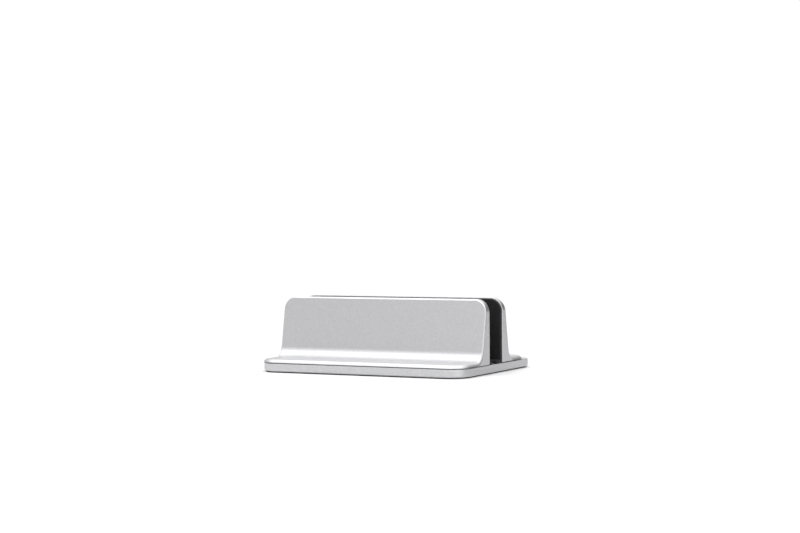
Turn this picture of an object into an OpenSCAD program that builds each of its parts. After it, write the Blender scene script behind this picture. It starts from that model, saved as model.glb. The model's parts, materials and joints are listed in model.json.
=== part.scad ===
// Vertical laptop stand: an aluminium base plate carries two L-shaped jaws that hold a closed
// laptop on its long or short edge. The front jaw is screwed and dowelled to the plate. The rear
// jaw slides towards it and away from it on two bushes in slots, and two screws from below clamp it.
// Millimetres, Z up, X along the jaws, front towards -Y. Origin: centre of the underside.

/* [Base plate] */
// Length of both jaws
stand_length = 149; // [130:1:200]
// Distance that each end of the jaws stands out over the end of the base plate
end_overhang = 0.5; // [0:0.1:1]
// Depth of the base plate, from front to rear
base_depth = 115.6; // [112:0.1:130]
// Thickness of the base plate
base_thickness = 5.3; // [5:0.1:8]
// Radius of the corners of the base plate and of the jaw feet, seen from above
corner_radius = 13; // [6:0.5:16]
// Radius of the rounding round the lower edge of the base plate
lower_edge_radius = 1; // [0.5:0.1:2.5]
// Bevel along the upper edge of the base plate
upper_edge_bevel = 0.2; // [0.1:0.05:0.5]

/* [Jaws] */
// Depth of a jaw, from its inner face to the tip of its foot
jaw_depth = 42; // [38:0.1:44]
// Height of a jaw above the base plate
jaw_height = 42.4; // [34:0.1:70]
// Thickness of the foot of a jaw
foot_thickness = 2.6; // [2.3:0.1:4]
// Thickness of the wall of a jaw at its top
wall_top_thickness = 4.3; // [4:0.1:7]
// Lean of the outer face of a wall, in degrees from upright
wall_lean = 10.3; // [7:0.1:14]
// Radius of the cove between wall and foot
cove_radius = 8.8; // [4:0.1:10]
// Radius of the upper corners of a wall, seen from the front
wall_corner_radius = 8.7; // [4:0.1:16]
// Bevel along the outer top edge of a wall
wall_edge_bevel = 0.6; // [0.3:0.1:1.2]
// Bevel along the upper edge of the tip of a foot
foot_tip_bevel = 0.8; // [0.3:0.1:1.4]
// Height of the groove between foot and base plate, which makes the dark parting line
groove_height = 0.5; // [0.2:0.05:0.6]
// Depth of that groove
groove_depth = 1.5; // [0.3:0.1:2]

/* [Slot] */
// Gap between the bare jaws as set for a laptop 17 mm thick
slot_width = 20.4; // [20:0.1:26]
// Travel of the rear jaw from that setting towards the front jaw
slide_in = 7; // [4:0.5:7]
// Gap under the sliding jaw
slide_gap = 0.1; // [0.05:0.05:0.2]

/* [Liners and mat] */
// Thickness of the silicone liner on each jaw
liner_thickness = 1.5; // [1:0.1:2.5]
// Distance from the edges of the wall to the edges of the liner
liner_inset = 0.8; // [0.5:0.1:3]
// Thickness of the liner's toe, on which the laptop stands
toe_thickness = 1.8; // [1.2:0.1:3]
// Depth of the toe, counted from the back of the liner
toe_depth = 6.3; // [4:0.1:6.4]
// Thickness of the adhesive film behind the liners
liner_film = 0.15; // [0.1:0.05:0.3]
// Thickness of the silicone mat under the base plate
mat_thickness = 0.45; // [0.4:0.05:2]
// Thickness of the adhesive film above the mat
mat_film = 0.15; // [0.1:0.05:0.3]
// Distance from the edge of the base plate to the edge of the mat
mat_inset = 1.6; // [1:0.1:5]

/* [Fasteners] */
// Distance of the outer screws from the middle of the stand
screw_offset = 48; // [35:1:55]
// Distance of the dowel pins from the middle of the stand
dowel_offset = 24; // [15:1:28]
// Distance of all screws and pins from the inner face of their jaw
screw_inset = 5.2; // [5:0.1:6]
// Height of the low-head clamp screws' heads
clamp_head_height = 2; // [1.6:0.1:2.2]

/* [Hidden] */
$fn = 64;

aluminium_colour = [0.80, 0.80, 0.81];
silicone_colour = [0.09, 0.09, 0.10];
film_colour = [0.35, 0.35, 0.36];
steel_colour = [0.62, 0.62, 0.64];
brass_colour = [0.78, 0.65, 0.35];
acetal_colour = [0.92, 0.92, 0.90];

// levels, counted from the surface that the stand rests on
base_bottom = mat_thickness + mat_film;
base_top = base_bottom + base_thickness;
rear_jaw_bottom = base_top + slide_gap;

plate_length = stand_length - 2 * end_overhang;

// places along Y
front_face = jaw_depth - base_depth / 2;
rear_face = front_face + slot_width;
front_screw_line = front_face - screw_inset;
rear_screw_line = rear_face + screw_inset;
// travel of the rear jaw outwards, until its foot is flush with the plate's rear edge
slide_out = base_depth / 2 - jaw_depth - rear_face;

// M4 hardware
thread_radius = 2;
clearance_radius = 2.15;
running_gap = 0.05;
countersunk_radius = 3.75;
countersunk_height = 1.9;
countersunk_recess = 0.3;
front_screw_length = 12;
tapped_depth = 8.5;
clamp_head_radius = 3.5;
clamp_screw_length = 12;
washer_radius = 4.5;
washer_thickness = 0.8;
bush_radius = 3;
bush_engagement = 1;
bush_gap = 0.2;
insert_length = 6;
hex_size = 2.5;
hex_depth = 1.3;

// pockets in the base plate for the clamp screws and their washers
head_clearance = 0.2;
washer_bottom = base_bottom + head_clearance + clamp_head_height;
washer_top = washer_bottom + washer_thickness;
recess_top = washer_top + running_gap;
recess_radius = washer_radius + 0.25;
slot_end_play = 0.3;

dowel_radius = 1.5;
dowel_length = 7;
dowel_bottom = base_top - dowel_length / 2;

// the strips stay under the foot of the rear jaw over its whole travel
strip_margin = 0.9;
strip_from = rear_face + slide_out + strip_margin;
strip_to = rear_face - slide_in + jaw_depth - strip_margin;
strip_size = [9, strip_to - strip_from, 0.4];
strip_offset = [28, (strip_from + strip_to) / 2];
strip_proud = 0.08;

// ---- outlines ----

function direction(angle) = [cos(angle), sin(angle)];

// The curved triangle between a circle of radius r and the two edges that leave a corner at
// angles a and b: taken from a sharp corner it rounds it, and added to an inner one it fillets it.
module corner_wedge(corner, a, b, r) {
    half = abs(a - b) / 2;
    reach = r / tan(half);
    centre = corner + direction((a + b) / 2) * r / sin(half);
    difference() {
        polygon([corner, corner + reach * direction(a), centre, corner + reach * direction(b)]);
        translate(centre) circle(r);
    }
}

// A diamond that takes a 45-degree bevel off a square corner
module bevel(corner, size) {
    translate(corner) circle(size, $fn = 4);
}

module rounded_rectangle(width, height, r) {
    square([width - 2 * r, height], center = true);
    square([width, height - 2 * r], center = true);
    for (sx = [-1, 1], sy = [-1, 1]) {
        translate([sx * (width / 2 - r), sy * (height / 2 - r)]) circle(r);
    }
}

// A slot from y = from to y = to, its ends round
module slot_outline(from, to, r) {
    translate([-r, from]) square([2 * r, to - from]);
    translate([0, from]) circle(r);
    translate([0, to]) circle(r);
}

// ---- base plate ----

// Half of the plate's section: rounded below, bevelled above
module plate_section(half_width) {
    difference() {
        square([half_width, base_thickness]);
        corner_wedge([half_width, 0], 180, 90, lower_edge_radius);
        bevel([half_width, base_thickness], upper_edge_bevel);
    }
}

module full_plate_section(half_width) {
    plate_section(half_width);
    mirror([1, 0]) plate_section(half_width);
}

module plate_blank() {
    straight_length = plate_length - 2 * corner_radius;
    straight_depth = base_depth - 2 * corner_radius;
    rotate([90, 0, 90]) linear_extrude(straight_length, center = true)
        full_plate_section(base_depth / 2);
    rotate([90, 0, 0]) linear_extrude(straight_depth, center = true)
        full_plate_section(plate_length / 2);
    for (sx = [-1, 1], sy = [-1, 1]) {
        translate([sx * straight_length / 2, sy * straight_depth / 2, 0])
            rotate_extrude() plate_section(corner_radius);
    }
}

// Stepped slot for a clamp screw: a wide recess for its washer, and a narrow guide for its bush
module clamp_slot() {
    from = rear_screw_line - slide_in - slot_end_play;
    to = rear_screw_line + slide_out + slot_end_play;
    translate([0, 0, base_bottom - 1]) linear_extrude(recess_top - base_bottom + 1)
        slot_outline(from, to, recess_radius);
    translate([0, 0, base_bottom]) linear_extrude(base_thickness + 1)
        slot_outline(from, to, bush_radius + running_gap);
}

module countersink() {
    translate([0, 0, base_bottom - 1]) cylinder(r = countersunk_radius, h = 1 + countersunk_recess);
    translate([0, 0, base_bottom + countersunk_recess])
        cylinder(r1 = countersunk_radius, r2 = thread_radius, h = countersunk_height);
    translate([0, 0, base_bottom]) cylinder(r = clearance_radius, h = base_thickness + 1);
}

module strip_pocket() {
    depth = strip_size.z - strip_proud;
    translate([-strip_size.x / 2, -strip_size.y / 2, base_top - depth])
        cube([strip_size.x, strip_size.y, depth + 1]);
}

module base_plate() {
    color(aluminium_colour) difference() {
        translate([0, 0, base_bottom]) plate_blank();
        for (side = [-1, 1]) {
            translate([side * screw_offset, 0, 0]) clamp_slot();
            translate([side * strip_offset.x, strip_offset.y, 0]) strip_pocket();
            translate([side * dowel_offset, front_screw_line, dowel_bottom])
                cylinder(r = dowel_radius, h = dowel_length);
        }
        for (x = [-screw_offset, 0, screw_offset]) {
            translate([x, front_screw_line, 0]) countersink();
        }
    }
}

// ---- mat and its adhesive film ----

module mat_outline() {
    cut_margin = 0.6;
    difference() {
        rounded_rectangle(
            plate_length - 2 * mat_inset, base_depth - 2 * mat_inset, corner_radius - mat_inset);
        for (side = [-1, 1]) {
            translate([side * screw_offset, 0]) slot_outline(
                rear_screw_line - slide_in - slot_end_play,
                rear_screw_line + slide_out + slot_end_play,
                recess_radius + cut_margin);
        }
        for (x = [-screw_offset, 0, screw_offset]) {
            translate([x, front_screw_line]) circle(countersunk_radius + cut_margin);
        }
    }
}

module base_mat() {
    color(silicone_colour) linear_extrude(mat_thickness) mat_outline();
}

module mat_film_sheet() {
    color(film_colour) translate([0, 0, mat_thickness]) linear_extrude(mat_film) mat_outline();
}

// ---- jaws, drawn with the inner face at y = 0 and the foot towards -Y ----

// Section of a jaw: x is the distance from its inner face, y the height above its underside
module jaw_section() {
    root = wall_top_thickness + (jaw_height - foot_thickness) * tan(wall_lean);
    difference() {
        union() {
            polygon([
                [0, 0], [root, 0], [root, foot_thickness],
                [wall_top_thickness, jaw_height], [0, jaw_height]
            ]);
            square([jaw_depth, foot_thickness]);
            corner_wedge([root, foot_thickness], 0, 90 + wall_lean, cove_radius);
        }
        bevel([wall_top_thickness, jaw_height], wall_edge_bevel);
        bevel([jaw_depth, foot_thickness], foot_tip_bevel);
    }
}

// Front view of a wall, its upper corners round; inset shrinks it on both sides and at the top
module wall_outline(inset) {
    half = stand_length / 2 - inset;
    top = jaw_height - inset;
    difference() {
        translate([-half, 0]) square([2 * half, top]);
        corner_wedge([half, top], 180, 270, wall_corner_radius - inset);
        corner_wedge([-half, top], 0, -90, wall_corner_radius - inset);
    }
}

// Plan of a jaw: the corners of its foot follow those of the base plate. Inset shrinks it at
// its ends and at the tip of its foot.
module jaw_plan(inset) {
    half = stand_length / 2 - inset;
    tip = jaw_depth - inset;
    difference() {
        translate([-half, -tip]) square([2 * half, tip]);
        corner_wedge([half, -tip], 180, 90, corner_radius - inset);
        corner_wedge([-half, -tip], 0, 90, corner_radius - inset);
    }
}

// The strip that is cut away all round the underside of a foot
module parting_groove() {
    margin = 1;
    difference() {
        translate([-stand_length / 2 - margin, -jaw_depth - margin, -margin])
            cube([stand_length + 2 * margin, jaw_depth + 2 * margin, margin + groove_height]);
        translate([0, 0, -2 * margin]) linear_extrude(groove_height + 3 * margin) union() {
            jaw_plan(groove_depth);
            translate([-stand_length / 2 + groove_depth, -groove_depth])
                square([stand_length - 2 * groove_depth, groove_depth + 2 * margin]);
        }
    }
}

module jaw_blank() {
    margin = 1;
    difference() {
        intersection() {
            rotate([90, 0, -90]) linear_extrude(stand_length, center = true) jaw_section();
            translate([0, margin, 0]) rotate([90, 0, 0]) linear_extrude(jaw_depth + 2 * margin)
                wall_outline(0);
            translate([0, 0, -margin]) linear_extrude(jaw_height + 2 * margin) jaw_plan(0);
        }
        parting_groove();
    }
}

module place_front_jaw() {
    translate([0, front_face, base_top]) children();
}

module place_rear_jaw() {
    translate([0, rear_face, rear_jaw_bottom]) rotate([0, 0, 180]) children();
}

module front_jaw() {
    dowel_height = dowel_bottom + dowel_length - base_top;
    color(aluminium_colour) place_front_jaw() difference() {
        jaw_blank();
        for (x = [-screw_offset, 0, screw_offset]) {
            translate([x, -screw_inset, -1]) cylinder(r = thread_radius, h = tapped_depth + 1);
        }
        for (side = [-1, 1]) {
            translate([side * dowel_offset, -screw_inset, -1])
                cylinder(r = dowel_radius, h = dowel_height + 1);
        }
    }
}

module rear_jaw() {
    tip_play = 0.8;
    screw_reach = washer_bottom + clamp_screw_length - rear_jaw_bottom;
    color(aluminium_colour) place_rear_jaw() difference() {
        jaw_blank();
        for (side = [-1, 1]) {
            translate([side * screw_offset, -screw_inset, -1]) {
                cylinder(r = bush_radius, h = bush_engagement + insert_length + 1);
                cylinder(r = clearance_radius, h = screw_reach + tip_play + 1);
            }
        }
    }
}

// ---- liners ----

// Section of a liner: x is the distance from the film into the slot, y the height
module liner_section() {
    fillet = 0.8;
    edge_bevel = 0.5;
    top = jaw_height - liner_inset;
    difference() {
        union() {
            square([liner_thickness, top]);
            square([toe_depth, toe_thickness]);
            corner_wedge([liner_thickness, toe_thickness], 0, 90, fillet);
        }
        bevel([toe_depth, toe_thickness], edge_bevel);
        bevel([liner_thickness, top], edge_bevel);
    }
}

module liner_blank() {
    color(silicone_colour) translate([0, liner_film, 0]) intersection() {
        rotate([90, 0, 90]) linear_extrude(stand_length, center = true) liner_section();
        translate([0, toe_depth + 1, 0]) rotate([90, 0, 0]) linear_extrude(toe_depth + 2)
            wall_outline(liner_inset);
    }
}

// Film between wall and liner, starting above the toe
module liner_film_blank() {
    film_inset = liner_inset + 0.4;
    color(film_colour) translate([0, liner_film, 0]) rotate([90, 0, 0]) linear_extrude(liner_film)
        difference() {
            wall_outline(film_inset);
            translate([-stand_length / 2, 0]) square([stand_length, toe_thickness]);
        }
}

module front_liner() {
    place_front_jaw() liner_blank();
}

module rear_liner() {
    place_rear_jaw() liner_blank();
}

module front_liner_film() {
    place_front_jaw() liner_film_blank();
}

module rear_liner_film() {
    place_rear_jaw() liner_film_blank();
}

// ---- fasteners ----

module hex_socket() {
    translate([0, 0, -1]) cylinder(d = hex_size / cos(30), h = hex_depth + 1, $fn = 6);
}

// Countersunk screw of the front jaw, head down
module front_screw(x) {
    head_bottom = base_bottom + countersunk_recess;
    color(steel_colour) translate([x, front_screw_line, head_bottom]) difference() {
        union() {
            cylinder(r1 = countersunk_radius, r2 = thread_radius, h = countersunk_height);
            cylinder(r = thread_radius, h = front_screw_length);
        }
        hex_socket();
    }
}

module front_screw_left() {
    front_screw(-screw_offset);
}

module front_screw_centre() {
    front_screw(0);
}

module front_screw_right() {
    front_screw(screw_offset);
}

module front_dowel(x) {
    color(steel_colour) translate([x, front_screw_line, dowel_bottom])
        cylinder(r = dowel_radius, h = dowel_length);
}

module front_dowel_left() {
    front_dowel(-dowel_offset);
}

module front_dowel_right() {
    front_dowel(dowel_offset);
}

// Low-head screw that clamps the rear jaw, head down
module clamp_screw(x) {
    head_bevel = 0.4;
    head_bottom = base_bottom + head_clearance;
    color(steel_colour) translate([x, rear_screw_line, head_bottom]) difference() {
        union() {
            cylinder(r1 = clamp_head_radius - head_bevel, r2 = clamp_head_radius, h = head_bevel);
            translate([0, 0, head_bevel])
                cylinder(r = clamp_head_radius, h = clamp_head_height - head_bevel);
            cylinder(r = thread_radius, h = clamp_head_height + clamp_screw_length);
        }
        hex_socket();
    }
}

module clamp_screw_left() {
    clamp_screw(-screw_offset);
}

module clamp_screw_right() {
    clamp_screw(screw_offset);
}

module tube_at(x, bottom, outer, inner, height) {
    translate([x, rear_screw_line, bottom]) difference() {
        cylinder(r = outer, h = height);
        translate([0, 0, -1]) cylinder(r = inner, h = height + 2);
    }
}

module clamp_washer(x) {
    color(steel_colour)
        tube_at(x, washer_bottom, washer_radius, clearance_radius, washer_thickness);
}

module clamp_washer_left() {
    clamp_washer(-screw_offset);
}

module clamp_washer_right() {
    clamp_washer(screw_offset);
}

// Acetal bush pressed into the underside of the rear jaw, running in the slot of the plate
module guide_bush(x) {
    bottom = washer_top + bush_gap;
    length = rear_jaw_bottom + bush_engagement - bottom;
    color(acetal_colour) tube_at(x, bottom, bush_radius, clearance_radius, length);
}

module guide_bush_left() {
    guide_bush(-screw_offset);
}

module guide_bush_right() {
    guide_bush(screw_offset);
}

module thread_insert(x) {
    bottom = rear_jaw_bottom + bush_engagement;
    color(brass_colour)
        tube_at(x, bottom, bush_radius, thread_radius + running_gap, insert_length);
}

module thread_insert_left() {
    thread_insert(-screw_offset);
}

module thread_insert_right() {
    thread_insert(screw_offset);
}

// Strip let into the plate, on which the foot of the rear jaw slides
module slide_strip(side) {
    depth = strip_size.z - strip_proud;
    color(acetal_colour)
        translate([side * strip_offset.x, strip_offset.y, base_top - depth + strip_size.z / 2])
            cube(strip_size, center = true);
}

module slide_strip_left() {
    slide_strip(-1);
}

module slide_strip_right() {
    slide_strip(1);
}

base_plate();
base_mat();
mat_film_sheet();
front_jaw();
rear_jaw();
front_liner();
rear_liner();
front_liner_film();
rear_liner_film();
front_screw_left();
front_screw_centre();
front_screw_right();
front_dowel_left();
front_dowel_right();
clamp_screw_left();
clamp_screw_right();
clamp_washer_left();
clamp_washer_right();
guide_bush_left();
guide_bush_right();
thread_insert_left();
thread_insert_right();
slide_strip_left();
slide_strip_right();
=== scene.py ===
"""Looks of the vertical laptop stand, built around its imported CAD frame.

The aluminium plate and jaws, the silicone liners and mat, and the hardware that shows from below
are rebuilt here with rounded edges. The films, pins and strips inside keep their CAD shapes.
"""
import json
import math

import bmesh
import bpy
from mathutils import Matrix, Vector


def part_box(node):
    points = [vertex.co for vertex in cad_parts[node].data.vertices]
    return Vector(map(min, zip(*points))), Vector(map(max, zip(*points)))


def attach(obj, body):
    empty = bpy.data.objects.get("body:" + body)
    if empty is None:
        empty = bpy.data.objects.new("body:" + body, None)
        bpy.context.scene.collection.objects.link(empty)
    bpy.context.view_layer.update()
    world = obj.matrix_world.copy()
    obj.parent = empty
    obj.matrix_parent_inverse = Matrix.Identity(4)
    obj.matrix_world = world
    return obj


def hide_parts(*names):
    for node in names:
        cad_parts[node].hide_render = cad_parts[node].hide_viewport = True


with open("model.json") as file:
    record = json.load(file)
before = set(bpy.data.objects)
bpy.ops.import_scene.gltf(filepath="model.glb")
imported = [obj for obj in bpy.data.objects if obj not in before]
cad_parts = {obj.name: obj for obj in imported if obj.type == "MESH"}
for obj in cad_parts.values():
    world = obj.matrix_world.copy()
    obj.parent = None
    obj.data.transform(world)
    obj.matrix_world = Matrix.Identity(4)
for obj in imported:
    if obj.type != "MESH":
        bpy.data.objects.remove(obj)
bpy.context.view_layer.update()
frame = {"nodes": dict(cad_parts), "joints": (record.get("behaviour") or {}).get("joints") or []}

# ---------------------------------------------------------------- sizes, in metres
MM = 0.001

# plate
CORNER_RADIUS = 13 * MM
LOWER_EDGE_RADIUS = 1.0 * MM
UPPER_EDGE_RADIUS = 0.2 * MM

# jaws
WALL_LEAN = math.radians(10.3)
WALL_TOP = 4.3 * MM
FOOT_THICKNESS = 2.6 * MM
COVE_RADIUS = 8.8 * MM
WALL_CORNER = 8.7 * MM
WALL_EDGE = 0.95 * MM
FOOT_EDGE = 2.1 * MM
JAW_INNER_EDGE = 0.35 * MM
GROOVE_HEIGHT = 0.5 * MM
GROOVE_DEPTH = 2.0 * MM

# liners
LINER_THICKNESS = 1.5 * MM
TOE_THICKNESS = 1.8 * MM
LINER_INSET = 0.8 * MM
LINER_FILLET = 0.8 * MM
LINER_EDGE = 0.45 * MM

# hardware
THREAD_RADIUS = 2.0 * MM
THREAD_PITCH = 0.7 * MM
THREAD_DEPTH = 0.35 * MM
CLEARANCE_RADIUS = 2.15 * MM
HEX_SIZE = 2.5 * MM
HEX_DEPTH = 1.3 * MM
SLOT_PLAY = 0.3 * MM
GUIDE_GAP = 0.05 * MM
RECESS_GAP = 0.25 * MM
MAT_MARGIN = 0.6 * MM
HOLE_BEVEL = 0.2 * MM

ARC_STEPS = 16
COVE_STEPS = 24
ROUND_STEPS = 64

# ---------------------------------------------------------------- places, from the frame
plate_low, plate_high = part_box("base_plate")
front_low, front_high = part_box("front_jaw")
rear_low, rear_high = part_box("rear_jaw")
mat_low, mat_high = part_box("base_mat")
slide = next(j for j in frame["joints"] if j["name"] == "rear_jaw_slide")
SLIDE_OUT, SLIDE_IN = -slide["range_m"][0], slide["range_m"][1]


def centre_of(node):
    low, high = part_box(node)
    return (low + high) / 2


# ---------------------------------------------------------------- outlines, as lists of (x, y)
def arc(x, y, radius, start, end, steps):
    """Points on an arc, its angles in degrees."""
    angles = [math.radians(start + (end - start) * k / steps) for k in range(steps + 1)]
    return [(x + radius * math.cos(a), y + radius * math.sin(a)) for a in angles]


def rounded_rectangle(x, y, width, depth, radius):
    """A rectangle with round corners, anticlockwise, centred on x, y."""
    points = []
    for index, (sx, sy) in enumerate([(1, 1), (-1, 1), (-1, -1), (1, -1)]):
        corner = (x + sx * (width / 2 - radius), y + sy * (depth / 2 - radius))
        points += arc(*corner, radius, 90 * index, 90 * index + 90, ARC_STEPS)
    return points


def stadium(x, y_from, y_to, radius):
    """A slot along Y with round ends, anticlockwise."""
    half = ROUND_STEPS // 2
    return arc(x, y_to, radius, 0, 180, half) + arc(x, y_from, radius, 180, 360, half)


def circle(x, y, radius):
    return arc(x, y, radius, 0, 360, ROUND_STEPS)[:-1]


def hexagon(x, y, across_flats):
    """A hexagon with as many points as a circle, so that the two can be joined."""
    points = []
    for k in range(ROUND_STEPS):
        angle = 2 * math.pi * k / ROUND_STEPS
        to_flat = (angle + math.pi / 6) % (math.pi / 3) - math.pi / 6
        radius = across_flats / 2 / math.cos(to_flat)
        points.append((x + radius * math.cos(angle), y + radius * math.sin(angle)))
    return points


# ---------------------------------------------------------------- mesh helpers
class Shell:
    """A closed mesh put together from rings of points."""

    def __init__(self):
        self.bm = bmesh.new()

    def ring(self, outline, z):
        return [self.bm.verts.new((x, y, z)) for x, y in outline]

    def skin(self, first, second):
        count = len(first)
        for k in range(count):
            n = (k + 1) % count
            self.bm.faces.new((first[k], first[n], second[n], second[k]))

    def stack(self, levels):
        """Skins a list of (outline, z) and returns its first and last ring."""
        rings = [self.ring(outline, z) for outline, z in levels]
        for first, second in zip(rings, rings[1:]):
            self.skin(first, second)
        return rings[0], rings[-1]

    def fill(self, rings):
        """Closes the flat region inside the first ring and outside the others."""
        edges = []
        for ring in rings:
            for a, b in zip(ring, ring[1:] + ring[:1]):
                edges.append(self.bm.edges.get((a, b)) or self.bm.edges.new((a, b)))
        bmesh.ops.triangle_fill(self.bm, use_beauty=True, use_dissolve=False, edges=edges)

    def cap(self, ring):
        self.bm.faces.new(ring)

    def finish(self, name, material):
        bmesh.ops.recalc_face_normals(self.bm, faces=self.bm.faces)
        mesh = bpy.data.meshes.new(name)
        self.bm.to_mesh(mesh)
        self.bm.free()
        return new_piece(name, mesh, material)


def new_piece(name, mesh, material):
    piece = bpy.data.objects.new(name, mesh)
    bpy.context.scene.collection.objects.link(piece)
    mesh.materials.append(material)
    for polygon in mesh.polygons:
        polygon.use_smooth = True
    return piece


def settle(piece, cutters=()):
    """Applies a piece's modifiers, cuts its bores and evens its normals out."""
    for cutter in cutters:
        cut = piece.modifiers.new("bore", "BOOLEAN")
        cut.operation = "DIFFERENCE"
        cut.solver = "EXACT"
        cut.object = cutter
    bpy.context.view_layer.update()
    evaluated = piece.evaluated_get(bpy.context.evaluated_depsgraph_get())
    mesh = bpy.data.meshes.new_from_object(evaluated)
    piece.modifiers.clear()
    piece.data = mesh
    for cutter in cutters:
        bpy.data.objects.remove(cutter)
    for polygon in mesh.polygons:
        polygon.use_smooth = True
    even_normals(piece)
    return piece


def even_normals(piece):
    """Keeps flat faces flat and lets only the small rounded faces carry the turn."""
    mesh = piece.data
    corner = math.radians(50)
    shape = bmesh.new()
    shape.from_mesh(mesh)
    for edge in shape.edges:
        edge.smooth = len(edge.link_faces) == 2 and edge.calc_face_angle(0) < corner
    shape.to_mesh(mesh)
    shape.free()
    weighted = piece.modifiers.new("normals", "WEIGHTED_NORMAL")
    weighted.mode = "FACE_AREA"
    weighted.keep_sharp = True
    weighted.weight = 80


# ---------------------------------------------------------------- materials
def new_material(name, colour, metallic, roughness, specular=0.5):
    material = bpy.data.materials.new(name)
    material.use_nodes = True
    shader = material.node_tree.nodes["Principled BSDF"]
    shader.inputs["Base Color"].default_value = (*colour, 1)
    shader.inputs["Metallic"].default_value = metallic
    shader.inputs["Roughness"].default_value = roughness
    shader.inputs["Specular IOR Level"].default_value = specular
    return material, shader


class Nodes:
    """Short forms for the few nodes that the materials use."""

    def __init__(self, material):
        self.tree = material.node_tree
        self.place = self.new("ShaderNodeTexCoord").outputs["Object"]

    def new(self, kind, **values):
        node = self.tree.nodes.new(kind)
        for key, value in values.items():
            setattr(node, key, value)
        return node

    def link(self, source, target):
        self.tree.links.new(source, target)

    def noise(self, size, detail=2.0, stretch=(1, 1, 1)):
        """Noise with spots about as large as size, in metres."""
        mapping = self.new("ShaderNodeMapping")
        mapping.inputs["Scale"].default_value = [s / size for s in stretch]
        self.link(self.place, mapping.inputs["Vector"])
        noise = self.new("ShaderNodeTexNoise")
        noise.inputs["Scale"].default_value = 1.0
        noise.inputs["Detail"].default_value = detail
        self.link(mapping.outputs["Vector"], noise.inputs["Vector"])
        return noise.outputs["Fac"]

    def spread(self, value, low, high):
        """Maps the middle of a noise to a range from low to high."""
        node = self.new("ShaderNodeMapRange")
        node.inputs["From Min"].default_value = 0.3
        node.inputs["From Max"].default_value = 0.7
        node.inputs["To Min"].default_value = low
        node.inputs["To Max"].default_value = high
        self.link(value, node.inputs["Value"])
        return node.outputs["Result"]

    def tone(self, value, dark, light):
        """Mixes two colours by a value."""
        node = self.new("ShaderNodeMix", data_type="RGBA")
        node.inputs["A"].default_value = (*dark, 1)
        node.inputs["B"].default_value = (*light, 1)
        self.link(value, node.inputs["Factor"])
        return node.outputs["Result"]

    def bump(self, value, height, below=None):
        node = self.new("ShaderNodeBump")
        node.inputs["Strength"].default_value = 1.0
        node.inputs["Distance"].default_value = height
        self.link(value, node.inputs["Height"])
        if below is not None:
            self.link(below, node.inputs["Normal"])
        return node.outputs["Normal"]


def blasted_aluminium(name, light, dark):
    """Bead-blasted, clear-anodised aluminium: a satin sheen over very fine pits."""
    material, shader = new_material(name, light, 1.0, 0.43)
    nodes = Nodes(material)
    pits = nodes.noise(0.22 * MM, detail=1.0)
    cloud = nodes.noise(1.3 * MM, detail=3.0)
    nodes.link(nodes.tone(nodes.spread(cloud, 0, 1), dark, light), shader.inputs["Base Color"])
    nodes.link(nodes.spread(nodes.noise(0.6 * MM), 0.38, 0.48), shader.inputs["Roughness"])
    grain = nodes.bump(cloud, 0.020 * MM)
    nodes.link(nodes.bump(pits, 0.010 * MM, grain), shader.inputs["Normal"])
    return material


def matt_silicone(name):
    """Black silicone: matt, with a soft mottle and faint dust."""
    material, shader = new_material(name, (0.012, 0.012, 0.013), 0.0, 0.66, 0.28)
    nodes = Nodes(material)
    mottle = nodes.noise(0.9 * MM, detail=4.0)
    colour = nodes.tone(nodes.spread(mottle, 0, 1), (0.008, 0.008, 0.009), (0.017, 0.017, 0.018))
    nodes.link(colour, shader.inputs["Base Color"])
    nodes.link(nodes.spread(nodes.noise(2.5 * MM), 0.52, 0.70), shader.inputs["Roughness"])
    nodes.link(nodes.bump(mottle, 0.02 * MM), shader.inputs["Normal"])
    return material


def turned_metal(name, colour, roughness):
    """Machined metal: fine rings from the lathe along its axis, with small scratches."""
    material, shader = new_material(name, colour, 1.0, roughness)
    nodes = Nodes(material)
    rings = nodes.noise(0.12 * MM, detail=1.0, stretch=(0.08, 0.08, 1))
    marks = nodes.noise(0.5 * MM, detail=3.0)
    darker = tuple(0.82 * c for c in colour)
    nodes.link(nodes.tone(nodes.spread(marks, 0, 1), darker, colour), shader.inputs["Base Color"])
    nodes.link(
        nodes.spread(marks, roughness - 0.06, roughness + 0.08), shader.inputs["Roughness"])
    nodes.link(nodes.bump(rings, 0.006 * MM), shader.inputs["Normal"])
    return material


def moulded_plastic(name, colour, roughness):
    """Engineering plastic with a faint mottle."""
    material, shader = new_material(name, colour, 0.0, roughness)
    nodes = Nodes(material)
    mottle = nodes.noise(0.8 * MM, detail=3.0)
    darker = tuple(0.9 * c for c in colour)
    nodes.link(nodes.tone(nodes.spread(mottle, 0, 1), darker, colour), shader.inputs["Base Color"])
    nodes.link(nodes.spread(mottle, roughness - 0.05, roughness + 0.05), shader.inputs["Roughness"])
    nodes.link(nodes.bump(mottle, 0.01 * MM), shader.inputs["Normal"])
    return material


JAW_ALUMINIUM = blasted_aluminium("jaw_aluminium", (0.61, 0.61, 0.62), (0.55, 0.55, 0.56))
PLATE_ALUMINIUM = blasted_aluminium("plate_aluminium", (0.61, 0.61, 0.62), (0.55, 0.55, 0.56))
LINER_SILICONE = matt_silicone("liner_silicone")
MAT_SILICONE = matt_silicone("mat_silicone")
STEEL = turned_metal("screw_steel", (0.62, 0.62, 0.63), 0.30)
PIN_STEEL = turned_metal("pin_steel", (0.66, 0.66, 0.67), 0.18)
BRASS = turned_metal("insert_brass", (0.78, 0.60, 0.30), 0.28)
ACETAL = moulded_plastic("acetal", (0.86, 0.86, 0.84), 0.40)
STRIP_PLASTIC = moulded_plastic("slide_plastic", (0.90, 0.90, 0.88), 0.35)
FILM = moulded_plastic("adhesive_film", (0.22, 0.22, 0.23), 0.50)


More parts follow.
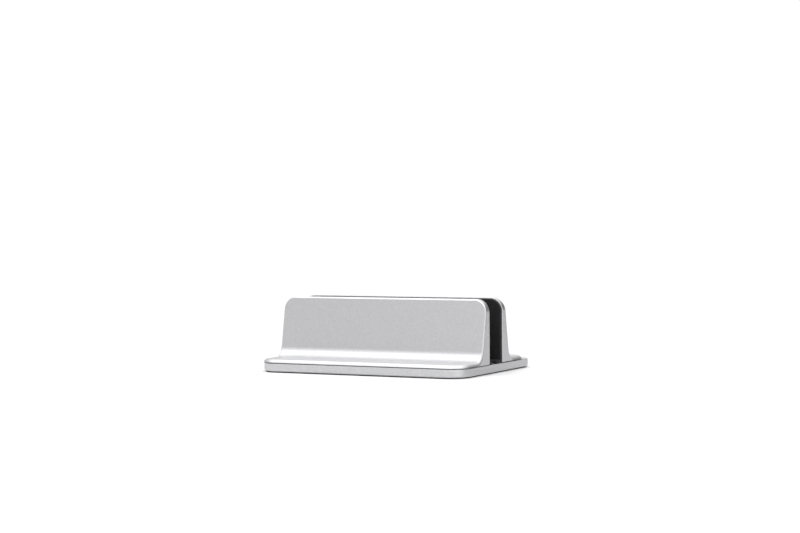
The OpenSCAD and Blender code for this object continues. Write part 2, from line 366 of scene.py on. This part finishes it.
# ---------------------------------------------------------------- base plate and mat
def slot_levels(x, offsets):
    """Levels of a hole round a clamp screw's travel, from (radius, z) pairs."""
    y = centre_of("clamp_screw_left").y
    y_from, y_to = y - SLIDE_IN - SLOT_PLAY, y + SLIDE_OUT + SLOT_PLAY
    return [(stadium(x, y_from, y_to, radius), z) for radius, z in offsets]


def round_levels(x, y, offsets):
    return [(circle(x, y, radius), z) for radius, z in offsets]


def quarter_turn(radius, z, rise, steps):
    """Levels (inset, z) of a rounded edge that leaves the face at z and ends on the side."""
    levels = []
    for k in range(steps + 1):
        turn = math.pi / 2 * k / steps
        levels.append((radius * (1 - math.sin(turn)), z + rise * radius * (1 - math.cos(turn))))
    return levels


def make_plate():
    shell = Shell()
    bottom, top = plate_low.z, plate_high.z
    width, depth = plate_high.x - plate_low.x, plate_high.y - plate_low.y
    rim = quarter_turn(UPPER_EDGE_RADIUS, top, -1, 4)
    rim += reversed(quarter_turn(LOWER_EDGE_RADIUS, bottom, 1, 8))
    levels = [
        (rounded_rectangle(0, 0, width - 2 * i, depth - 2 * i, CORNER_RADIUS - i), z)
        for i, z in rim
    ]
    upper, lower = shell.stack(levels)
    upper_rings, lower_rings = [upper], [lower]

    guide = (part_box("guide_bush_left")[1].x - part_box("guide_bush_left")[0].x) / 2 + GUIDE_GAP
    recess = (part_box("clamp_washer_left")[1].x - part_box("clamp_washer_left")[0].x) / 2 + RECESS_GAP
    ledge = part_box("clamp_washer_left")[1].z + GUIDE_GAP
    for side in ("left", "right"):
        first, last = shell.stack(slot_levels(centre_of("clamp_screw_" + side).x, [
            (guide + HOLE_BEVEL, top), (guide, top - HOLE_BEVEL), (guide, ledge),
            (recess, ledge), (recess, bottom + HOLE_BEVEL), (recess + HOLE_BEVEL, bottom),
        ]))
        upper_rings.append(first)
        lower_rings.append(last)

    for side in ("left", "centre", "right"):
        low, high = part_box("front_screw_" + side)
        head = (high.x - low.x) / 2
        head_height = head - THREAD_RADIUS + HOLE_BEVEL
        first, last = shell.stack(round_levels((low.x + high.x) / 2, (low.y + high.y) / 2, [
            (CLEARANCE_RADIUS, top), (CLEARANCE_RADIUS, low.z + head_height),
            (head, low.z), (head, bottom),
        ]))
        upper_rings.append(first)
        lower_rings.append(last)

    for side in ("left", "right"):
        low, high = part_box("front_dowel_" + side)
        radius = (high.x - low.x) / 2
        first, last = shell.stack(round_levels((low.x + high.x) / 2, (low.y + high.y) / 2, [
            (radius, top), (radius, low.z)]))
        shell.cap(last)
        upper_rings.append(first)
        low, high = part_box("slide_strip_" + side)
        pocket = [(low.x, low.y), (high.x, low.y), (high.x, high.y), (low.x, high.y)]
        first, last = shell.stack([(pocket, top), (pocket, low.z)])
        shell.cap(last)
        upper_rings.append(first)

    shell.fill(upper_rings)
    shell.fill(lower_rings)
    piece = shell.finish("base_plate_body", PLATE_ALUMINIUM)
    even_normals(piece)
    return piece


def make_mat():
    shell = Shell()
    soft_edge = 0.15 * MM
    width, depth = mat_high.x - mat_low.x, mat_high.y - mat_low.y
    radius = CORNER_RADIUS - (plate_high.x - mat_high.x)
    rim = [
        (soft_edge, mat_high.z), (0, mat_high.z - soft_edge),
        (0, mat_low.z + soft_edge), (soft_edge, mat_low.z),
    ]
    upper, lower = shell.stack([
        (rounded_rectangle(0, 0, width - 2 * i, depth - 2 * i, radius - i), z) for i, z in rim])
    upper_rings, lower_rings = [upper], [lower]
    recess = (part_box("clamp_washer_left")[1].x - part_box("clamp_washer_left")[0].x) / 2
    recess += RECESS_GAP + MAT_MARGIN
    head = (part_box("front_screw_left")[1].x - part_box("front_screw_left")[0].x) / 2 + MAT_MARGIN
    holes = []
    for side in ("left", "right"):
        x = centre_of("clamp_screw_" + side).x
        holes.append(slot_levels(x, [(recess + i, z) for i, z in rim]))
    for side in ("left", "centre", "right"):
        place = centre_of("front_screw_" + side)
        holes.append(round_levels(place.x, place.y, [(head + i, z) for i, z in rim]))
    for levels in holes:
        first, last = shell.stack(levels)
        upper_rings.append(first)
        lower_rings.append(last)
    shell.fill(upper_rings)
    shell.fill(lower_rings)
    piece = shell.finish("base_mat_sheet", MAT_SILICONE)
    even_normals(piece)
    return piece


# ---------------------------------------------------------------- jaws and liners
def ell_rows(length, height, wall, lean, foot, depth, cove, wall_corner, foot_corner):
    """Outer skin of an L-shaped piece, from the top edge of its wall to the tip of its foot.

    Each row is (half width, y, z). The back is at y = 0, the foot points towards -Y and the
    underside is at z = 0. Returns the rows and the numbers of the last row of the wall's round
    corner and of the first row of the foot's.
    """
    half = length / 2

    def face(z):
        return -(wall + (height - z) * math.tan(lean))

    rows = []
    for k in range(ARC_STEPS + 1):
        turn = math.pi / 2 * (1 - k / ARC_STEPS)
        z = height - wall_corner * (1 - math.sin(turn))
        rows.append((half - wall_corner * (1 - math.cos(turn)), face(z), z))
    reach = cove / math.tan((math.pi / 2 + lean) / 2)
    centre_y, centre_z = face(foot) - reach, foot + cove
    for k in range(COVE_STEPS + 1):
        turn = -lean - (math.pi / 2 - lean) * k / COVE_STEPS
        rows.append((half, centre_y + cove * math.cos(turn), centre_z + cove * math.sin(turn)))
    foot_start = len(rows)
    for k in range(ARC_STEPS + 1):
        turn = math.pi / 2 * k / ARC_STEPS
        rows.append((
            half - foot_corner * (1 - math.cos(turn)),
            -depth + foot_corner * (1 - math.sin(turn)),
            foot,
        ))
    return rows, ARC_STEPS, foot_start


def make_ell(name, material, place, edges, groove, **sizes):
    """Builds an L-shaped piece.

    edges holds the radii of its edges: round the wall, round the foot, on the inner face and
    underneath. groove is the depth and height of a wedge cut away round its underside, deepest
    at the outline.
    """
    wall_edge, foot_edge, inner_edge, lower_edge = edges
    groove_depth, groove_height = groove
    rows, wall_end, foot_start = ell_rows(**sizes)
    half, depth, foot_corner = sizes["length"] / 2, sizes["depth"], sizes["foot_corner"]
    bm = bmesh.new()
    weights = bm.edges.layers.float.new("bevel_weight_edge")

    def pair(x, y, z):
        return [bm.verts.new((side * x, y, z)) for side in (-1, 1)]

    def underside(inset, z):
        """Heel and foot corner, inset from the outline, as pairs from heel to tip."""
        pairs = [pair(half - inset, 0, z)]
        radius = foot_corner - inset
        for k in range(ARC_STEPS + 1):
            turn = math.pi / 2 * k / ARC_STEPS
            pairs.append(pair(
                half - inset - radius * (1 - math.cos(turn)),
                -depth + inset + radius * (1 - math.sin(turn)), z))
        return pairs

    def join(upper, lower):
        for s in (0, 1):
            for k in range(len(upper) - 1):
                bm.faces.new((upper[k][s], upper[k + 1][s], lower[k + 1][s], lower[k][s]))
        bm.faces.new((upper[-1][0], upper[-1][1], lower[-1][1], lower[-1][0]))

    outer = [pair(*row) for row in rows]
    inner = [pair(row[0], 0, row[2]) for row in rows[:wall_end + 1]]
    under = [underside(0, groove_height)]
    if groove_height:
        under += [underside(groove_depth, 0)]

    for a, b in zip(outer, outer[1:]):
        bm.faces.new((a[0], a[1], b[1], b[0]))
    bm.faces.new((inner[0][0], inner[0][1], outer[0][1], outer[0][0]))
    join(outer[foot_start:], under[0][1:])
    for upper, lower in zip(under, under[1:]):
        join(upper, lower)
    for s in (0, 1):
        for k in range(wall_end):
            bm.faces.new((outer[k][s], outer[k + 1][s], inner[k + 1][s], inner[k][s]))
        end = [row[s] for row in outer[wall_end:foot_start + 1]]
        bm.faces.new(end + [under[0][1][s], under[0][0][s], inner[-1][s]])
    heels = [level[0] for level in under]
    right = [v[1] for v in inner] + [v[1] for v in heels]
    left = [v[0] for v in inner] + [v[0] for v in heels]
    bm.faces.new(right + list(reversed(left)))
    lowest = under[-1]
    bm.faces.new([v[1] for v in lowest] + [v[0] for v in reversed(lowest)])

    def mark(chain, radii):
        for a, b, radius in zip(chain, chain[1:], radii):
            edge = bm.edges.get((a, b))
            edge[weights] = max(edge[weights], radius / foot_edge)

    radii = []
    for k in range(len(rows) - 1):
        blend = min(max((k - wall_end) / COVE_STEPS, 0), 1)
        radii.append(wall_edge + (foot_edge - wall_edge) * blend)
    for s in (0, 1):
        mark([v[s] for v in outer], radii)
        mark([v[s] for v in inner] + [heels[0][s]], [inner_edge] * len(inner))
        mark([v[s] for v in under[0]], [lower_edge] * len(under[0]))
    mark([outer[0][0], outer[0][1]], [wall_edge])
    mark([outer[-1][0], outer[-1][1]], [foot_edge])
    mark([inner[0][0], inner[0][1]], [inner_edge])
    mark([under[0][-1][0], under[0][-1][1]], [lower_edge])
    if not groove_height:
        mark([heels[0][0], heels[0][1]], [lower_edge])

    bm.transform(place)
    bmesh.ops.recalc_face_normals(bm, faces=bm.faces)
    mesh = bpy.data.meshes.new(name)
    bm.to_mesh(mesh)
    bm.free()
    piece = new_piece(name, mesh, material)
    bevel = piece.modifiers.new("edges", "BEVEL")
    bevel.limit_method = "WEIGHT"
    bevel.width = foot_edge
    bevel.segments = 6
    bevel.profile = 0.36
    bevel.use_clamp_overlap = False
    bevel.loop_slide = False
    return piece


def cutter(x, y, levels):
    """A turned plug that cuts a bore: (radius, z) pairs from below upwards."""
    shell = Shell()
    first, last = shell.stack(round_levels(x, y, levels))
    shell.cap(first)
    shell.cap(last)
    return shell.finish("cutter", STEEL)


def make_jaw(node, turned, bores):
    low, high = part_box(node)
    inner_face = low.y if turned else high.y
    place = Matrix.Translation((0, inner_face, low.z))
    if turned:
        place = place @ Matrix.Rotation(math.pi, 4, "Z")
    piece = make_ell(
        node + "_body", JAW_ALUMINIUM, place,
        (WALL_EDGE, FOOT_EDGE, JAW_INNER_EDGE, 0.1 * MM), (GROOVE_DEPTH, GROOVE_HEIGHT),
        length=high.x - low.x, height=high.z - low.z, wall=WALL_TOP, lean=WALL_LEAN,
        foot=FOOT_THICKNESS, depth=high.y - low.y, cove=COVE_RADIUS,
        wall_corner=WALL_CORNER, foot_corner=CORNER_RADIUS,
    )
    settle(piece, bores)
    return piece


def front_bores():
    below = front_low.z - MM
    play = 0.8 * MM
    bores = []
    for side in ("left", "centre", "right"):
        place, top = centre_of("front_screw_" + side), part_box("front_screw_" + side)[1].z + play
        bores.append(cutter(place.x, place.y, [(THREAD_RADIUS, below), (THREAD_RADIUS, top)]))
    for side in ("left", "right"):
        low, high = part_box("front_dowel_" + side)
        radius = (high.x - low.x) / 2
        place = centre_of("front_dowel_" + side)
        bores.append(cutter(place.x, place.y, [(radius, below), (radius, high.z)]))
    return bores


def rear_bores():
    below = rear_low.z - MM
    play = 0.8 * MM
    bores = []
    for side in ("left", "right"):
        low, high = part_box("thread_insert_" + side)
        radius = (high.x - low.x) / 2
        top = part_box("clamp_screw_" + side)[1].z + play
        place = centre_of("thread_insert_" + side)
        bores.append(cutter(place.x, place.y, [
            (radius, below), (radius, high.z), (CLEARANCE_RADIUS, high.z), (CLEARANCE_RADIUS, top)]))
    return bores


def make_liner(node, turned):
    low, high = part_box(node)
    back = low.y if turned else high.y
    place = Matrix.Translation((0, back, low.z))
    if turned:
        place = place @ Matrix.Rotation(math.pi, 4, "Z")
    piece = make_ell(
        node + "_skin", LINER_SILICONE, place, (LINER_EDGE, LINER_EDGE, 0.1 * MM, 0.2 * MM), (0, 0),
        length=high.x - low.x, height=high.z - low.z, wall=LINER_THICKNESS, lean=0.0,
        foot=TOE_THICKNESS, depth=high.y - low.y, cove=LINER_FILLET,
        wall_corner=WALL_CORNER - LINER_INSET, foot_corner=1.2 * MM,
    )
    settle(piece)
    return piece


# ---------------------------------------------------------------- hardware
def threaded_ring(x, y, z, z_start):
    """One ring of a screw's shank, its radius rising and falling along the helix."""
    points = []
    for k in range(ROUND_STEPS):
        turn = k / ROUND_STEPS
        phase = ((z - z_start) / THREAD_PITCH - turn) % 1.0
        radius = THREAD_RADIUS - THREAD_DEPTH * abs(2 * phase - 1)
        angle = 2 * math.pi * turn
        points.append((x + radius * math.cos(angle), y + radius * math.sin(angle)))
    return points


def make_screw(node, name, head_levels, plain):
    """A hex-socket screw, head down: head_levels are (radius, height), plain its smooth neck."""
    low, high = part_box(node)
    x, y = (low.x + high.x) / 2, (low.y + high.y) / 2
    shell = Shell()
    tip = 0.4 * MM
    levels = [
        (hexagon(x, y, HEX_SIZE), low.z + HEX_DEPTH),
        (hexagon(x, y, HEX_SIZE), low.z + 0.12 * MM),
        (circle(x, y, HEX_SIZE / 2 / math.cos(math.pi / 6) + 0.06 * MM), low.z),
    ]
    levels += [(circle(x, y, radius), low.z + height) for radius, height in head_levels]
    start = low.z + head_levels[-1][1] + plain
    core = THREAD_RADIUS - THREAD_DEPTH
    levels += [(circle(x, y, core), low.z + head_levels[-1][1] + 0.05 * MM)]
    levels += [(circle(x, y, core), start)]
    turns = (high.z - tip - start) / THREAD_PITCH
    per_turn = 8
    count = int(turns * per_turn)
    for k in range(1, count):
        z = start + THREAD_PITCH * k / per_turn
        levels.append((threaded_ring(x, y, z, start), z))
    levels += [(circle(x, y, core), high.z - tip), (circle(x, y, core - tip), high.z)]
    first, last = shell.stack(levels)
    shell.cap(first)
    shell.cap(last)
    piece = shell.finish(name, STEEL)
    even_normals(piece)
    return piece


def make_tube(node, name, material, inner, edge):
    """A washer, bush or insert with its edges broken."""
    low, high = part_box(node)
    x, y = (low.x + high.x) / 2, (low.y + high.y) / 2
    outer = (high.x - low.x) / 2
    shell = Shell()
    levels = [
        (inner + edge, low.z), (outer - edge, low.z), (outer, low.z + edge),
        (outer, high.z - edge), (outer - edge, high.z), (inner + edge, high.z),
        (inner, high.z - edge), (inner, low.z + edge),
    ]
    rings = [shell.ring(circle(x, y, radius), z) for radius, z in levels]
    for first, second in zip(rings, rings[1:] + rings[:1]):
        shell.skin(first, second)
    piece = shell.finish(name, material)
    even_normals(piece)
    return piece


# ---------------------------------------------------------------- put together
def stand_in(piece, node, body):
    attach(piece, body)
    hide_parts(node)


stand_in(make_plate(), "base_plate", "base")
stand_in(make_mat(), "base_mat", "base")
stand_in(make_jaw("front_jaw", False, front_bores()), "front_jaw", "base")
stand_in(make_jaw("rear_jaw", True, rear_bores()), "rear_jaw", "sliding_jaw")
stand_in(make_liner("front_liner", True), "front_liner", "base")
stand_in(make_liner("rear_liner", False), "rear_liner", "sliding_jaw")

countersunk = [(3.55 * MM, 0), (3.75 * MM, 0.15 * MM), (THREAD_RADIUS, 1.9 * MM)]
low_head = [
    (3.1 * MM, 0), (3.4 * MM, 0.12 * MM), (3.5 * MM, 0.4 * MM),
    (3.5 * MM, 1.9 * MM), (3.4 * MM, 2.0 * MM), (THREAD_RADIUS, 2.0 * MM),
]
for side in ("left", "centre", "right"):
    node = "front_screw_" + side
    stand_in(make_screw(node, node + "_turned", countersunk, 2.0 * MM), node, "base")
for side in ("left", "right"):
    node = "clamp_screw_" + side
    screw = make_screw(node, node + "_turned", low_head, 1.5 * MM)
    stand_in(screw, node, side + "_clamp")
    node = "clamp_washer_" + side
    washer = make_tube(node, node + "_ring", STEEL, CLEARANCE_RADIUS, 0.12 * MM)
    stand_in(washer, node, "sliding_jaw")
    node = "guide_bush_" + side
    bush = make_tube(node, node + "_sleeve", ACETAL, CLEARANCE_RADIUS, 0.15 * MM)
    stand_in(bush, node, "sliding_jaw")
    node = "thread_insert_" + side
    insert = make_tube(node, node + "_sleeve", BRASS, THREAD_RADIUS + GUIDE_GAP, 0.15 * MM)
    stand_in(insert, node, "sliding_jaw")

kept = {
    "mat_film_sheet": FILM, "front_liner_film": FILM, "rear_liner_film": FILM,
    "front_dowel_left": PIN_STEEL, "front_dowel_right": PIN_STEEL,
    "slide_strip_left": STRIP_PLASTIC, "slide_strip_right": STRIP_PLASTIC,
}
for node, material in kept.items():
    frame["nodes"][node].data.materials.clear()
    frame["nodes"][node].data.materials.append(material)


# ---------------------------------------------------------------- floor, lights and camera
# brightness of the studio round the stand, as (rise above the horizon, share of the strength)
SKY_STRENGTH = 2.4
SKY_RISE = [(0.0, 0.45), (0.1, 0.45), (0.28, 0.21), (0.5, 0.32), (0.85, 0.88)]
# and how it falls off towards one side, as (share of the way there, factor)
SHADE_SIDE = (0.70, 0.71, 0)
SKY_SHADE = [(0.0, 1.0), (0.6, 1.0), (0.9, 0.12)]


def make_floor():
    size = 12.0
    bpy.ops.mesh.primitive_plane_add(size=size, location=(0, 0, -0.02 * MM))
    floor = bpy.context.object
    floor.name = "studio_floor"
    material, shader = new_material("floor_paper", (0.72, 0.72, 0.72), 0.0, 0.9, 0.1)
    nodes = Nodes(material)
    paper = nodes.spread(nodes.noise(40 * MM), 0, 1)
    nodes.link(nodes.tone(paper, (0.71, 0.71, 0.71), (0.73, 0.73, 0.73)),
               shader.inputs["Base Color"])
    floor.data.materials.append(material)


def add_light(name, place, aim, size, power):
    data = bpy.data.lights.new(name, "AREA")
    data.shape = "RECTANGLE"
    data.size, data.size_y = size
    data.energy = power
    light = bpy.data.objects.new(name, data)
    bpy.context.scene.collection.objects.link(light)
    light.location = place
    light.rotation_euler = (Vector(aim) - Vector(place)).to_track_quat("-Z", "Y").to_euler()
    return light


def make_world():
    """A white studio: brighter overhead, and dimmer low down behind the right end."""
    world = bpy.data.worlds.new("studio")
    bpy.context.scene.world = world
    world.use_nodes = True
    tree = world.node_tree
    background = tree.nodes["Background"]
    background.inputs["Strength"].default_value = SKY_STRENGTH
    way = tree.nodes.new("ShaderNodeTexCoord").outputs["Generated"]
    sides = []
    for direction, stops in (((0, 0, 1), SKY_RISE), (SHADE_SIDE, SKY_SHADE)):
        dot = tree.nodes.new("ShaderNodeVectorMath")
        dot.operation = "DOT_PRODUCT"
        dot.inputs[1].default_value = Vector(direction).normalized()
        tree.links.new(way, dot.inputs[0])
        ramp = tree.nodes.new("ShaderNodeValToRGB")
        ramp.color_ramp.interpolation = "EASE"
        while len(ramp.color_ramp.elements) < len(stops):
            ramp.color_ramp.elements.new(0.5)
        for element, (position, level) in zip(ramp.color_ramp.elements, stops):
            element.position = position
            element.color = (level, level, level, 1)
        tree.links.new(dot.outputs["Value"], ramp.inputs["Fac"])
        sides.append(ramp.outputs["Color"])
    mix = tree.nodes.new("ShaderNodeMix")
    mix.data_type = "RGBA"
    mix.blend_type = "MULTIPLY"
    mix.inputs["Factor"].default_value = 1.0
    tree.links.new(sides[0], mix.inputs["A"])
    tree.links.new(sides[1], mix.inputs["B"])
    tree.links.new(mix.outputs["Result"], background.inputs["Color"])


def make_camera():
    """The camera stands to the right of the front, just above the stand, and looks level."""
    data = bpy.data.cameras.new("camera")
    data.lens = 80.05
    data.sensor_width = 36.0
    camera = bpy.data.objects.new("camera", data)
    bpy.context.scene.collection.objects.link(camera)
    turn, tilt, roll = math.radians(27.018), math.radians(1.387), math.radians(-0.341)
    camera.matrix_world = (
        Matrix.Translation((0.5392, -1.0528, 0.0969))
        @ Matrix.Rotation(turn, 4, "Z")
        @ Matrix.Rotation(math.pi / 2 - tilt, 4, "X")
        @ Matrix.Rotation(roll, 4, "Z")
    )
    bpy.context.scene.camera = camera


make_floor()
make_world()
add_light("overhead_box", (-0.15, -0.25, 1.3), (0, 0, 0), (1.4, 1.1), 3)
add_light("front_box", (0.1, -1.6, 0.7), (0, 0, 0.02), (0.8, 0.9), 1.5)
add_light("side_box", (1.25, -0.65, 0.4), (0, 0, 0.02), (0.5, 0.9), 1.8)
make_camera()
bpy.context.scene.view_settings.view_transform = "Standard"
